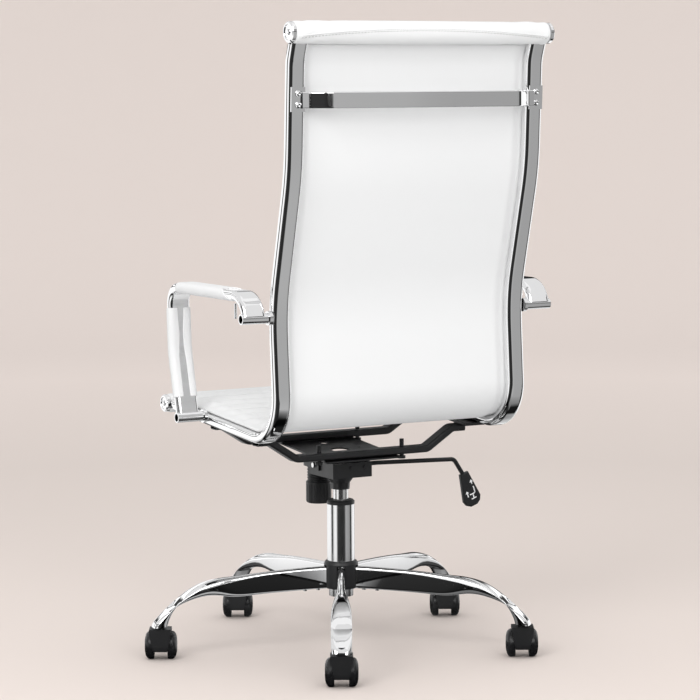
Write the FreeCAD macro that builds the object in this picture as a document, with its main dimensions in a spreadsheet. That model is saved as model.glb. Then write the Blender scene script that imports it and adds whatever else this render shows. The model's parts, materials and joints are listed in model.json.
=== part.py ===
import FreeCAD, Part
import math
import os

import Sketcher

# Swivel office chair with two bent side rails, a one-piece sling, loop arms and a five-leg base.
# Millimetres. Z is up, the chair faces -Y, +X is the sitter's left. The swivel axis is Z and
# the castors stand on Z = 0.

os.makedirs("parts", exist_ok=True)
DOC = FreeCAD.newDocument("swivel_chair")
SHEET = DOC.addObject("Spreadsheet::Sheet", "Dims")

CELLS = {
    # five-leg base
    "star_turn": 29, "leg_step": 72, "stem_circle": 340.6, "caster_trail": 18,
    "sleeve_rad": 22, "sleeve_bore": 19.3, "sleeve_low": 97, "sleeve_top": 150,
    "cover_rad": 30, "cover_wall": 3, "cover_low": 112, "cover_top": 162,
    "leg_slot": 14.4, "leg_rivet_rad": 3.6, "leg_rivet_tall": 2,
    "socket_rad": 9.5, "socket_low": 61, "socket_top": 72, "socket_bore": 6,
    # gas lift
    "outer_rad": 25, "outer_wall_rad": 22.5, "outer_top": 265.5, "outer_step": 163,
    "outer_low": 99, "taper_rad": 19, "taper_bore": 16.5, "plate_thick": 3,
    "bush_top": 273.5, "bush_low": 240, "bush_spigot": 22.2, "bush_bore": 14.3,
    "cyl_rad": 14, "cyl_low": 135, "cyl_top": 332, "cyl_bore": 5.3, "cyl_bore_top": 250,
    "rod_rad": 5, "rod_low": 98, "rod_top": 230, "thrust_rad": 10, "thrust_top": 106,
    "thrust_low": 102.3, "rod_gap": 0.3,
    # tilt mechanism
    "box_half": 40, "box_rear": 45, "box_front": 45, "box_low": 318, "box_top": 345,
    "box_wall": 3, "nose_rad": 28, "nose_low": 326.5, "knob_y": 83, "cone_low": 293,
    "cone_rad_low": 16.5, "cone_rad_top": 21, "cone_bore": 14.2,
    "pivot_y": 20, "pivot_z": 337, "pin_rad": 4.5, "pin_half": 47,
    "boot_rad": 21.2, "boot_low": 290, "boot_wall": 2, "boot_rib": 1.1,
    "knob_rad": 23.5, "knob_low": 257, "knob_top": 297, "knob_wall": 2, "knob_floor": 4,
    "bolt_rad": 4, "bolt_top": 364, "bolt_clear": 5, "washer_rad": 15,
    "button_rad": 5, "button_low": 324.5, "button_top": 338,
    # lever
    "lever_y": 20, "lever_z": 338, "fulcrum_x": 36, "fulcrum_rad": 6.5, "fulcrum_long": 24, "trunnion_rad": 3,
    "lever_rad": 4, "lever_bore": 4.3, "lever_inner": 26, "lever_bend": 229,
    "lever_bend_z": 332.5, "lever_end": 251, "lever_end_z": 299, "lever_bend_rad": 12,
    "paddle_top": 305, "paddle_len": 66, "paddle_thick": 9, "paddle_lean": 20,
    "paddle_narrow": 18, "paddle_wide": 38,
    # top plate and crossbars
    "bar_rear_y": 75, "bar_front_y": 88, "bar_rear_z": 366.5, "bar_rise": 14,
    "bar_tall": 13, "bar_deep": 26, "bar_corner": 4, "bar_flat": 134, "bar_up": 187,
    "bar_lift": 34, "front_flat": 146, "front_up": 196, "front_lift": 31.5, "bar_reach": 212, "bar_bend": 16,
    "strip_x": 218, "strip_wide": 40, "strip_thick": 5, "strip_rear": 112, "strip_front": 118,
    "bar_bore_deep": 23, "bar_bore_tall": 10, "bar_bore_corner": 2.5, "plate_half": 76, "plate_rear": 90,
    "plate_front": 106, "plate_gauge": 3, "hole_rad": 18, "hole_y": 2,
    "ear_gap": 40.5, "ear_thick": 3, "ear_half": 16, "ear_low": 328,
    "stud_x": 85, "stud_rad": 4, "stud_up": 14, "nut_rad": 7, "nut_tall": 5,
    # side rails: corners of the centre line, front to top
    "rail_x": 235, "rail_wide": 35, "rail_thick": 19, "rail_corner": 9.4,
    "rail_bore_wide": 31.8, "rail_bore_thick": 15.8, "rail_bore_corner": 7.8,
    "front_y": 201.4, "front_z": 445, "bend_y": 224.7, "bend_z": 412.2,
    "lumbar_y": 209.3, "lumbar_z": 648.3, "upper_y": 268.2, "upper_z": 877.5,
    "neck_y": 277.6, "neck_z": 1065, "head_y": 294.6, "head_z": 1110.7,
    "bend_rad": 76, "lumbar_rad": 330, "upper_rad": 400, "neck_rad": 70,
    # sling and rolls
    "sling_half": 245.5, "sling_thick": 12, "sling_set": 16, "head_rad": 20, "front_rad": 18,
    "roll_half": 250, "roll_tube": 11, "roll_tube_bore": 9, "roll_fit": 0.5, "cap_thick": 9,
    "cap_gap": 2, "slot_wide": 36, "slot_thick": 20,
    # back brace
    "brace_z": 1000, "brace_tall": 28, "brace_thick": 6, "brace_corner": 2.6,
    "brace_end_x": 228, "brace_end_y": 288, "brace_turn_x": 200, "brace_turn_y": 309,
    "brace_mid_y": 321, "brace_drop": 3, "tab_wide": 26, "tab_tall": 41, "tab_thick": 3.2,
    "tab_lean": 2.86, "screw_gap": 9.5, "screw_rad": 5.4, "screw_tall": 4,
    # arms
    "arm_x": 286, "arm_wide": 42, "arm_thick": 16, "arm_corner": 7.8,
    "arm_bore_wide": 39, "arm_bore_thick": 13, "arm_bore_corner": 6.3,
    "sleeve_wide": 45.6, "sleeve_thick": 20, "sleeve_corner": 9.6, "sleeve_bore_wide": 42.6,
    "sleeve_bore_thick": 16.6, "sleeve_bore_corner": 8.1,
    "arm_rear_y": 217.1, "arm_rear_z": 633.9, "arm_top_y": 203.2, "arm_top_z": 669,
    "arm_fore_y": 76.8, "arm_mid_y": 71, "arm_mid_z": 555, "arm_low_y": 43.5,
    "arm_low_z": 443, "arm_rear_rad": 44.9, "arm_fore_rad": 30, "arm_mid_rad": 200,
    "pad_front": 42, "pad_rear": 150, "upright_top_y": 74.9, "upright_top_z": 631,
    "upright_low_y": 50.9, "upright_low_z": 473,
    "mount_rad": 9, "mount_bore": 6.8, "mount_in": 252.6, "mount_out": 309,
    "mount_rear_y": 214.5, "mount_rear_z": 631.5, "mount_front_y": 40,
    "mount_front_z": 438.5, "collar_rad": 12, "collar_wide": 6,
    "pull_y": 166, "pull_top": 655, "pull_long": 26, "pull_rad": 2.6,
    # castors
    "wheel_rad": 25, "wheel_in": 12.6, "wheel_out": 28.8, "wheel_bore": 4.3,
    "axle_rad": 4, "axle_half": 26, "web_half": 10.6,
    "web_rad": 22, "hood_in": 25.6, "hood_out": 28.6, "hood_half_top": 19.5,
    "hood_half_low": 12.5, "hood_low": 17, "hood_front": 11.4, "hood_top": 58, "neck_boss_rad": 9,
    "neck_low": 44, "neck_top": 59.6, "stem_rad": 5.5, "stem_top": 71,
}
ROW = {name: index + 1 for index, name in enumerate(CELLS)}
for cell_name, cell_value in CELLS.items():
    SHEET.set("A%d" % ROW[cell_name], cell_name)
    SHEET.set("B%d" % ROW[cell_name], str(cell_value))
    SHEET.setAlias("B%d" % ROW[cell_name], cell_name)
DOC.recompute()

NODES = []


# ---------------------------------------------------------------- sums of named cells
def tokens(text):
    """Split a sum such as 'rail_x - rail_wide/2' into (sign, name, divisor)."""
    sign = 1
    for word in str(text).split():
        if word in ("+", "-"):
            sign = -1 if word == "-" else 1
            continue
        name, _, divisor = word.partition("/")
        yield sign, name, float(divisor or 1)
        sign = 1


def amount(text):
    total = 0.0
    for sign, name, divisor in tokens(text):
        number = CELLS[name] if name in CELLS else float(name)
        total += sign * number / divisor
    return total


def formula(text):
    parts = []
    for sign, name, divisor in tokens(text):
        term = "Dims." + name if name in CELLS else name
        parts.append("%s %s / %g" % ("-" if sign < 0 else "+", term, divisor))
    return " ".join(parts).lstrip("+ ")


def bind(obj, prop, text):
    obj.setExpression(prop, formula(text))


def keep(obj, label):
    obj.Label = label
    NODES.append(obj)
    return obj


# ---------------------------------------------------------------- sketch helpers
def new_body(name):
    return DOC.addObject("PartDesign::Body", name)


def plane(body, role):
    return next(f for f in body.Origin.OriginFeatures if f.Role == role)


def new_sketch(body, role, name, shift=("0", "0", "0"), tilt=0.0):
    """A sketch on an origin plane, moved in that plane's own frame and tilted about its X."""
    sketch = body.newObject("Sketcher::SketchObject", name)
    sketch.AttachmentSupport = [(plane(body, role), "")]
    sketch.MapMode = "FlatFace"
    base = FreeCAD.Vector(*[amount(text) for text in shift])
    turn = FreeCAD.Rotation(FreeCAD.Vector(1, 0, 0), tilt)
    sketch.AttachmentOffset = FreeCAD.Placement(base, turn)
    for axis, text in zip("xyz", shift):
        if text != "0":
            bind(sketch, "AttachmentOffset.Base." + axis, text)
    return sketch


def hold_point(sketch, geo, end, across, up):
    """Tie one point of a sketch to sums of cells, measured from the sketch origin."""
    for kind, text, axis in (("DistanceX", across, -2), ("DistanceY", up, -1)):
        value = amount(text)
        if abs(value) < 1e-9:
            sketch.addConstraint(Sketcher.Constraint("PointOnObject", geo, end, axis))
            continue
        row = sketch.addConstraint(Sketcher.Constraint(kind, -1, 1, geo, end, value))
        bind(sketch, "Constraints[%d]" % row, text)


def polygon(sketch, points):
    spots = [FreeCAD.Vector(amount(a), amount(b), 0) for a, b in points]
    first = None
    for index, spot in enumerate(spots):
        nxt = spots[(index + 1) % len(spots)]
        geo = sketch.addGeometry(Part.LineSegment(spot, nxt), False)
        first = geo if first is None else first
    for index, (across, up) in enumerate(points):
        geo = first + index
        before = first + (index - 1) % len(points)
        sketch.addConstraint(Sketcher.Constraint("Coincident", before, 2, geo, 1))
        hold_point(sketch, geo, 1, across, up)


def circle(sketch, across, up, radius):
    centre = FreeCAD.Vector(amount(across), amount(up), 0)
    normal = FreeCAD.Vector(0, 0, 1)
    geo = sketch.addGeometry(Part.Circle(centre, normal, amount(radius)), False)
    row = sketch.addConstraint(Sketcher.Constraint("Radius", geo, amount(radius)))
    bind(sketch, "Constraints[%d]" % row, radius)
    hold_point(sketch, geo, 3, across, up)


def rounded_box(sketch, wide, tall, corner, up="0"):
    """A rounded rectangle centred on (0, up), tied to its width, height and corner radius."""
    half_w = amount(wide) / 2
    half_h = amount(tall) / 2
    rad = amount(corner)
    mid = amount(up)
    corners = ((half_w, half_h, 0), (-half_w, half_h, 90), (-half_w, -half_h, 180), (half_w, -half_h, 270))
    arcs = []
    for x_edge, y_edge, start in corners:
        cx = x_edge - math.copysign(rad, x_edge)
        cy = mid + y_edge - math.copysign(rad, y_edge)
        ring = Part.Circle(FreeCAD.Vector(cx, cy, 0), FreeCAD.Vector(0, 0, 1), rad)
        low = math.radians(start)
        arcs.append(sketch.addGeometry(Part.ArcOfCircle(ring, low, low + math.pi / 2), False))
    sides = []
    for index in range(4):
        start = sketch.getPoint(arcs[index], 2)
        finish = sketch.getPoint(arcs[(index + 1) % 4], 1)
        sides.append(sketch.addGeometry(Part.LineSegment(start, finish), False))
    for index in range(4):
        nxt = arcs[(index + 1) % 4]
        sketch.addConstraint(Sketcher.Constraint("Tangent", arcs[index], 2, sides[index], 1))
        sketch.addConstraint(Sketcher.Constraint("Tangent", sides[index], 2, nxt, 1))
        if index:
            sketch.addConstraint(Sketcher.Constraint("Equal", arcs[0], arcs[index]))
    sketch.addConstraint(Sketcher.Constraint("Horizontal", sides[0]))
    sketch.addConstraint(Sketcher.Constraint("Vertical", sides[1]))
    row = sketch.addConstraint(Sketcher.Constraint("Radius", arcs[0], rad))
    bind(sketch, "Constraints[%d]" % row, corner)
    hold_point(sketch, arcs[0], 3, wide + "/2 - " + corner, up + " + " + tall + "/2 - " + corner)
    hold_point(sketch, arcs[2], 3, "0 - " + wide + "/2 + " + corner,
               up + " - " + tall + "/2 + " + corner)


def trace(sketch, corners, radii):
    """Draw an open chain of lines through corners, with a tangent arc at each inner corner."""
    spots = [FreeCAD.Vector(amount(a), amount(b), 0) for a, b in corners]
    start = spots[0]
    for index in range(1, len(spots) - 1):
        corner = spots[index]
        back = (spots[index - 1] - corner).normalize()
        ahead = (spots[index + 1] - corner).normalize()
        half = back.getAngle(ahead) / 2
        reach = amount(radii[index - 1]) / math.tan(half)
        enter = corner + back * reach
        leave = corner + ahead * reach
        bulge = (back + ahead).normalize()
        rad = amount(radii[index - 1])
        centre = corner + bulge * (rad / math.sin(half))
        sketch.addGeometry(Part.LineSegment(start, enter), False)
        sketch.addGeometry(Part.Arc(enter, centre - bulge * rad, leave), False)
        start = leave
    sketch.addGeometry(Part.LineSegment(start, spots[-1]), False)
    for geo in range(sketch.GeometryCount - 1):
        join_chain(sketch, geo)
    last = sketch.GeometryCount - 1
    hold_point(sketch, 0, 1, *corners[0])
    hold_point(sketch, last, 2, *corners[-1])


def join_chain(sketch, geo):
    """Join two neighbouring pieces of a chain at the ends that meet."""
    near = []
    for end in (1, 2):
        for other in (1, 2):
            gap = sketch.getPoint(geo, end).distanceToPoint(sketch.getPoint(geo + 1, other))
            near.append((gap, end, other))
    _, end, other = min(near)
    sketch.addConstraint(Sketcher.Constraint("Tangent", geo, end, geo + 1, other))


# ---------------------------------------------------------------- solid helpers
def pad(body, sketch, length, name, both=False, flip=False):
    feature = body.newObject("PartDesign::Pad", name)
    feature.Profile = sketch
    feature.Length = amount(length)
    bind(feature, "Length", length)
    feature.Midplane = both
    feature.Reversed = flip
    body.Tip = feature
    return feature


def pocket(body, sketch, length, name, both=False, flip=False):
    feature = body.newObject("PartDesign::Pocket", name)
    feature.Profile = sketch
    feature.Length = amount(length)
    bind(feature, "Length", length)
    feature.Midplane = both
    feature.Reversed = flip
    body.Tip = feature
    return feature


def turn(name, points):
    """A body turned about Z from a half section given as (radius, height) corners."""
    body = new_body(name)
    sketch = new_sketch(body, "XZ_Plane", name + "_section")
    polygon(sketch, points)
    feature = body.newObject("PartDesign::Revolution", name + "_turned")
    feature.Profile = sketch
    feature.ReferenceAxis = (sketch, ["V_Axis"])
    feature.Angle = 360
    body.Tip = feature
    return body


def pipe(body, profile, path, name, kind="PartDesign::AdditivePipe"):
    feature = body.newObject(kind, name)
    feature.Profile = profile
    feature.Spine = (path, [])
    body.Tip = feature
    return feature


def start_tilt(corners):
    """The tilt about X that stands a sketch square to the first leg of a path in the YZ plane."""
    (y0, z0), (y1, z1) = [(amount(a), amount(b)) for a, b in corners[:2]]
    return math.degrees(math.atan2(-(z1 - z0), -(y1 - y0)))


def side_profile(body, name, corners, across):
    """A profile sketch at the start of a path that lies in a plane of constant X."""
    y0, z0 = corners[0]
    flipped = "0 - " + y0 if not y0.startswith("0 - ") else y0[4:]
    return new_sketch(body, "XZ_Plane", name, (across, z0, flipped), start_tilt(corners))


def cylinder(name, radius, length, at, axis="z"):
    part = DOC.addObject("Part::Cylinder", name)
    bind(part, "Radius", radius)
    bind(part, "Height", length)
    part.Radius = amount(radius)
    part.Height = amount(length)
    place(part, at, axis)
    return part


def box(name, size, at, spin=None):
    part = DOC.addObject("Part::Box", name)
    for prop, text in zip(("Length", "Width", "Height"), size):
        setattr(part, prop, amount(text))
        bind(part, prop, text)
    place(part, at, "z", spin)
    return part


def place(part, at, axis="z", spin=None):
    turns = {"z": ((0, 0, 1), 0), "x": ((0, 1, 0), 90), "y": ((1, 0, 0), -90)}
    line, angle = spin or turns[axis]
    base = FreeCAD.Vector(*[amount(text) for text in at])
    part.Placement = FreeCAD.Placement(base, FreeCAD.Rotation(FreeCAD.Vector(*line), angle))
    for letter, text in zip("xyz", at):
        bind(part, "Placement.Base." + letter, text)


def fuse(name, shapes):
    part = DOC.addObject("Part::MultiFuse", name)
    part.Shapes = shapes
    return part


def bundle(name, shapes):
    part = DOC.addObject("Part::Compound", name)
    part.Links = shapes
    return part


def cut(name, base, tool):
    part = DOC.addObject("Part::Cut", name)
    part.Base = base
    part.Tool = tool
    return part


def copy_of(source, label, placement):
    part = DOC.addObject("Part::Feature", label)
    part.Shape = source.Shape.copy()
    part.Placement = placement.multiply(source.Placement)
    return keep(part, label)


def about_z(degrees, x=0.0, y=0.0):
    return FreeCAD.Placement(FreeCAD.Vector(x, y, 0), FreeCAD.Rotation(FreeCAD.Vector(0, 0, 1), degrees))


def leg_angles():
    return [CELLS["star_turn"] + CELLS["leg_step"] * step for step in range(5)]


# ---------------------------------------------------------------- base
def build_hub():
    sleeve = turn("hub_sleeve", [("sleeve_bore", "sleeve_low"), ("sleeve_rad", "sleeve_low"),
                                 ("sleeve_rad", "sleeve_top"), ("sleeve_bore", "sleeve_top")])
    keep(sleeve, "base_hub_sleeve")
    shell = turn("hub_cover", [
        ("cover_rad - cover_wall", "cover_low"), ("cover_rad", "cover_low"),
        ("cover_rad + 1", "cover_low + 4"), ("cover_rad + 1", "cover_top - 6"),
        ("cover_rad - 1", "cover_top - 1.5"), ("cover_rad - 3", "cover_top"),
        ("outer_rad + 0.3", "cover_top"), ("outer_rad + 0.3", "cover_top - cover_wall"),
        ("cover_rad - cover_wall", "cover_top - cover_wall")])
    slots = []
    for number, angle in enumerate(leg_angles()):
        slot = box("leg_slot_%d" % number, ("leg_slot", "20", "44"), ("0", "0", "cover_low - 2"))
        shift = FreeCAD.Vector(-CELLS["leg_slot"] / 2, 18, 0)
        spin = FreeCAD.Rotation(FreeCAD.Vector(0, 0, 1), -angle)
        slot.setExpression("Placement.Base.x", None)
        slot.setExpression("Placement.Base.y", None)
        base = spin.multVec(shift) + FreeCAD.Vector(0, 0, CELLS["cover_low"] - 2)
        slot.Placement = FreeCAD.Placement(base, spin)
        slots.append(slot)
    keep(cut("hub_cover_cut", shell, fuse("leg_slots", slots)), "base_hub_cover")


# distance out, height of centre, section height, section width, lean below level
LEG_SECTIONS = (
    (22.2, 131.8, 41.0, 13.0, 0), (50, 131.3, 40.8, 13.0, 0), (80, 130.7, 40.6, 13.0, 0),
    (110, 129.9, 40.2, 13.0, 0), (140, 128.8, 39.6, 13.2, 0), (168, 127.2, 39.0, 14.5, 1),
    (192, 125.8, 38.0, 17.0, 2), (212, 125.9, 35.5, 20.5, 4), (230, 126.9, 31.5, 24.5, 7),
    (248, 126.3, 28.5, 28.5, 13), (268, 122.5, 27.5, 32.5, 23), (288, 115.2, 27.0, 35.5, 34),
    (306, 105.4, 27.0, 36.5, 45), (322, 92.5, 27.0, 36.5, 56), (334.0, 78.5, 26.5, 36.0, 69),
    (341.6, 62.6, 26.0, 35.2, 83),
)


def build_leg():
    """One hollow pressed leg: a tall narrow blade at the hub that turns into a rounded tip."""
    body = new_body("leg")
    rings = []
    for number, (out, high, tall, wide, lean) in enumerate(LEG_SECTIONS):
        ring = new_sketch(body, "XZ_Plane", "leg_ring_%d" % number, ("0", str(high), str(-out)), lean)
        rounded_box(ring, str(wide), str(tall), str(round(min(tall, wide) * 0.42, 2)))
        rings.append(ring)
    loft = body.newObject("PartDesign::AdditiveLoft", "leg_loft")
    loft.Profile = rings[0]
    loft.Sections = rings[1:]
    body.Tip = loft
    DOC.recompute()
    return body


def build_base():
    build_hub()
    leg = build_leg()
    bore = cylinder("leg_stem_bore", "socket_rad", "36", ("0", "stem_circle", "socket_top - 35.5"))
    collar = cylinder("leg_tube_room", "outer_rad + 0.3", "30", ("0", "0", "sleeve_top - 0.3"))
    rivets = [cylinder("rivet_%d" % n, "leg_rivet_rad", "leg_rivet_tall",
                       ("0", str(out), str(109.2 - 0.012 * (out - 42)))) for n, out in enumerate((44, 69))]
    pair = bundle("leg_rivet_pair", rivets)
    bored = cut("leg_bored", leg, fuse("leg_voids", [bore, collar] + rivets))
    DOC.recompute()
    socket = turn("caster_socket", [("socket_bore", "socket_low"), ("socket_rad - 0.4", "socket_low"),
                                    ("socket_rad - 0.4", "socket_top"), ("socket_bore", "socket_top")])
    DOC.recompute()
    sockets = []
    heads = []
    for number, angle in enumerate(leg_angles()):
        spin = about_z(-angle)
        copy_of(bored, "base_leg_%d" % (number + 1), spin)
        spot = spin.multVec(FreeCAD.Vector(0, CELLS["stem_circle"], 0))
        sockets.append(moved(socket, "socket_%d" % number, about_z(0, spot.x, spot.y)))
        heads.append(moved(pair, "rivet_heads_%d" % number, spin))
    keep(bundle("sockets", sockets), "caster_sockets")
    keep(bundle("rivets", heads), "leg_rivets")


def moved(source, name, placement):
    part = DOC.addObject("Part::Feature", name)
    part.Shape = source.Shape.copy()
    part.Placement = placement.multiply(source.Placement)
    return part


def build_lift():
    keep(turn("outer_tube", [
        ("taper_bore", "outer_low + plate_thick"), ("rod_rad + rod_gap", "outer_low + plate_thick"),
        ("rod_rad + rod_gap", "outer_low"), ("taper_rad", "outer_low"), ("taper_rad", "sleeve_top"),
        ("outer_rad", "sleeve_top"), ("outer_rad", "outer_top"), ("outer_wall_rad", "outer_top"),
        ("outer_wall_rad", "outer_step"), ("taper_bore", "outer_step")]), "lift_outer_tube")
    keep(turn("top_bush", [
        ("bush_bore", "bush_low"), ("bush_spigot", "bush_low"), ("bush_spigot", "outer_top"),
        ("outer_rad", "outer_top"), ("outer_rad + 0.4", "outer_top + 2"),
        ("outer_rad + 0.4", "bush_top - 3"), ("outer_rad - 2.5", "bush_top"),
        ("cyl_rad + 4", "bush_top"), ("bush_bore", "bush_top - 2.5")]), "lift_top_bush")
    keep(turn("piston_rod", [("0", "rod_low"), ("rod_rad", "rod_low"), ("rod_rad", "rod_top"),
                             ("0", "rod_top")]), "lift_piston_rod")
    keep(turn("thrust_bearing", [("rod_rad", "thrust_low"), ("thrust_rad", "thrust_low"),
                                 ("thrust_rad", "thrust_top"), ("rod_rad", "thrust_top")]),
         "lift_thrust_bearing")
    keep(turn("gas_cylinder", [
        ("cyl_bore", "cyl_low"), ("cyl_rad", "cyl_low"), ("cyl_rad", "cyl_top"),
        ("cyl_bore", "cyl_top"), ("cyl_bore", "button_low - 4"), ("0", "button_low - 4"),
        ("0", "cyl_bore_top"), ("cyl_bore", "cyl_bore_top")]), "lift_cylinder")
    keep(turn("valve_button", [("0", "button_low"), ("button_rad", "button_low"),
                               ("button_rad", "button_top"), ("0", "button_top")]), "release_button")


# ---------------------------------------------------------------- tilt mechanism
def build_housing():
    outer = [
        box("pan_rear", ("box_half + box_half", "box_front + box_rear", "box_top - box_low"),
            ("0 - box_half", "0 - box_front", "box_low")),
        box("pan_neck", ("nose_rad + nose_rad", "knob_y - box_front", "box_top - nose_low"),
            ("0 - nose_rad", "0 - knob_y", "nose_low")),
        cylinder("pan_nose", "nose_rad", "box_top - nose_low", ("0", "0 - knob_y", "nose_low")),
        turn("socket_cone", [("0", "cone_low"), ("cone_rad_low", "cone_low"),
                             ("cone_rad_low + 0.8", "cone_low + 12"), ("cone_rad_top + 6", "box_low + 0.5"),
                             ("0", "box_low + 0.5")]),
    ]
    inner = [
        box("pan_rear_hollow", ("box_half + box_half - 6", "box_front + box_rear - 6", "box_top - box_low"),
            ("3 - box_half", "3 - box_front", "box_low + box_wall")),
        box("pan_neck_hollow", ("nose_rad + nose_rad - 6", "knob_y - box_front + 6", "box_top - nose_low"),
            ("3 - nose_rad", "0 - knob_y", "nose_low + box_wall")),
        cylinder("pan_nose_hollow", "nose_rad - 3", "box_top - nose_low",
                 ("0", "0 - knob_y", "nose_low + box_wall")),
        cylinder("cone_hollow", "cone_bore", "60", ("0", "0", "cone_low - 5")),
        cylinder("bolt_hole", "bolt_clear", "20", ("0", "0 - knob_y", "nose_low - 5")),
        cylinder("pin_hole", "pin_rad", "box_half + box_half + 20",
                 ("0 - box_half - 10", "0 - pivot_y", "pivot_z"), "x"),
        box("lever_slot", ("8", "18", "22"), ("0 - box_half - 2", "lever_y - 9", "box_top - 17")),
    ]
    solid = cut("pan", fuse("pan_outer", outer), fuse("pan_inner", inner))
    rivets = [cylinder("rear_rivet_%d" % n, "3.4", "2", (str(x), "box_rear", "336"), "y")
              for n, x in enumerate((-26, 2))]
    keep(fuse("tilt_pan", [solid] + rivets), "tilt_housing")
    keep(cylinder("tilt_pin", "pin_rad", "pin_half + pin_half",
                  ("0 - pin_half", "0 - pivot_y", "pivot_z"), "x"),
         "tilt_pivot_pin")


def build_tension():
    ribs = [("bolt_clear", "nose_low"), ("bolt_clear", "nose_low - 3"),
            ("boot_rad - boot_wall", "nose_low - 3"), ("boot_rad - boot_wall", "boot_low")]
    count = 7
    step = (CELLS["nose_low"] - CELLS["boot_low"]) / count
    for index in range(count):
        low = CELLS["boot_low"] + step * index
        ribs.append(("boot_rad - boot_rib", str(round(low + 0.4, 2))))
        ribs.append(("boot_rad", str(round(low + 1.6, 2))))
        ribs.append(("boot_rad", str(round(low + 3.2, 2))))
        ribs.append(("boot_rad - boot_rib", str(round(low + step - 0.4, 2))))
    ribs.append(("boot_rad - boot_rib", "nose_low"))
    boot = keep(turn("boot", ribs), "spring_boot")
    boot.Placement.Base = FreeCAD.Vector(0, -CELLS["knob_y"], 0)
    bind(boot, "Placement.Base.y", "0 - knob_y")

    knob = turn("knob", [
        ("bolt_rad + 0.3", "knob_low"), ("knob_rad - 3", "knob_low"), ("knob_rad - 0.8", "knob_low + 1.5"),
        ("knob_rad", "knob_low + 4"), ("knob_rad", "knob_top - 1"), ("knob_rad - 1", "knob_top"),
        ("knob_rad - knob_wall + 0.1", "knob_top"), ("knob_rad - knob_wall + 0.1", "knob_low + knob_floor"),
        ("bolt_rad + 0.3", "knob_low + knob_floor")])
    flute = new_sketch(knob, "XY_Plane", "flute_section", ("0", "0", "knob_low - 1"))
    circle(flute, "knob_rad + 0.5", "0", "1.2")
    groove = pocket(knob, flute, "knob_top - knob_low - 4", "flute", flip=True)
    ring = knob.newObject("PartDesign::PolarPattern", "flutes")
    ring.Originals = [groove]
    ring.Axis = (flute, ["N_Axis"])
    ring.Angle = 360
    ring.Occurrences = 24
    knob.Tip = ring
    keep(knob, "tension_knob")
    knob.Placement.Base = FreeCAD.Vector(0, -CELLS["knob_y"], 0)
    bind(knob, "Placement.Base.y", "0 - knob_y")

    stem = turn("tension_stem", [
        ("0", "knob_low - 2"), ("bolt_rad + 3", "knob_low - 2"), ("bolt_rad + 3", "knob_low - 0.3"),
        ("bolt_rad", "knob_low - 0.3"), ("bolt_rad", "knob_low + knob_floor + 0.3"),
        ("washer_rad", "knob_low + knob_floor + 0.3"), ("washer_rad", "knob_low + knob_floor + 2.3"),
        ("bolt_rad", "knob_low + knob_floor + 2.3"), ("bolt_rad", "bolt_top"), ("0", "bolt_top")])
    keep(stem, "tension_bolt")
    stem.Placement.Base = FreeCAD.Vector(0, -CELLS["knob_y"], 0)
    bind(stem, "Placement.Base.y", "0 - knob_y")


def build_lever():
    sleeve = cylinder("fulcrum_sleeve", "fulcrum_rad", "fulcrum_long",
                      ("0 - fulcrum_x - fulcrum_long/2", "lever_y", "lever_z"), "x")
    finger = box("fulcrum_finger", ("34", "24", "3"), ("-30", "lever_y - 24", "lever_z + 2.5"))
    hole = cylinder("fulcrum_hole", "lever_bore", "fulcrum_long + 40",
                    ("0 - fulcrum_x - fulcrum_long/2 - 5", "lever_y", "lever_z"), "x")
    trunnion = cylinder("fulcrum_trunnion", "trunnion_rad", "17.4",
                        ("0 - fulcrum_x", "lever_y - 8.7", "lever_z"), "y")
    keep(cut("fulcrum", fuse("fulcrum_solid", [sleeve, finger, trunnion]), hole), "lever_fulcrum")

    rod = new_body("lever_rod_body")
    path = new_sketch(rod, "XZ_Plane", "lever_path", ("0", "0", "0 - lever_y"))
    trace(path, [("0 - lever_inner", "lever_z"), ("0 - fulcrum_x - 30", "lever_z"),
                 ("0 - lever_bend", "lever_bend_z"), ("0 - lever_end", "lever_end_z")],
          ["lever_bend_rad", "lever_bend_rad"])
    ring = new_sketch(rod, "YZ_Plane", "lever_ring", ("lever_y", "lever_z", "0 - lever_inner"))
    circle(ring, "0", "0", "lever_rad")
    pipe(rod, ring, path, "lever_sweep")
    keep(rod, "lever_rod")

    paddle = new_body("paddle")
    face = new_sketch(paddle, "XZ_Plane", "paddle_face", ("0", "0", "0 - paddle_thick/2"))
    polygon(face, [("0 - paddle_narrow/2", "0"), ("paddle_narrow/2", "0"),
                   ("paddle_wide/2", "0 - paddle_len + 14"), ("paddle_wide/2 - 4", "0 - paddle_len + 5"),
                   ("paddle_wide/2 - 12", "0 - paddle_len"), ("12 - paddle_wide/2", "0 - paddle_len"),
                   ("4 - paddle_wide/2", "0 - paddle_len + 5"), ("0 - paddle_wide/2", "0 - paddle_len + 14")])
    slab = pad(paddle, face, "paddle_thick", "paddle_pad")
    DOC.recompute()
    broad = ["Face%d" % (n + 1) for n, f in enumerate(slab.Shape.Faces) if abs(f.normalAt(0, 0).y) > 0.9]
    edge = paddle.newObject("PartDesign::Fillet", "paddle_edges")
    edge.Base = (slab, broad)
    edge.Radius = 2.2
    paddle.Tip = edge
    lean = FreeCAD.Rotation(FreeCAD.Vector(0, 1, 0), CELLS["paddle_lean"])
    top = FreeCAD.Vector(-CELLS["lever_end"] + 1.5, CELLS["lever_y"], CELLS["paddle_top"])
    paddle.Placement = FreeCAD.Placement(top, lean)
    socket = cut("paddle_socketed", paddle, rod)
    keep(socket, "lever_paddle")


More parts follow.
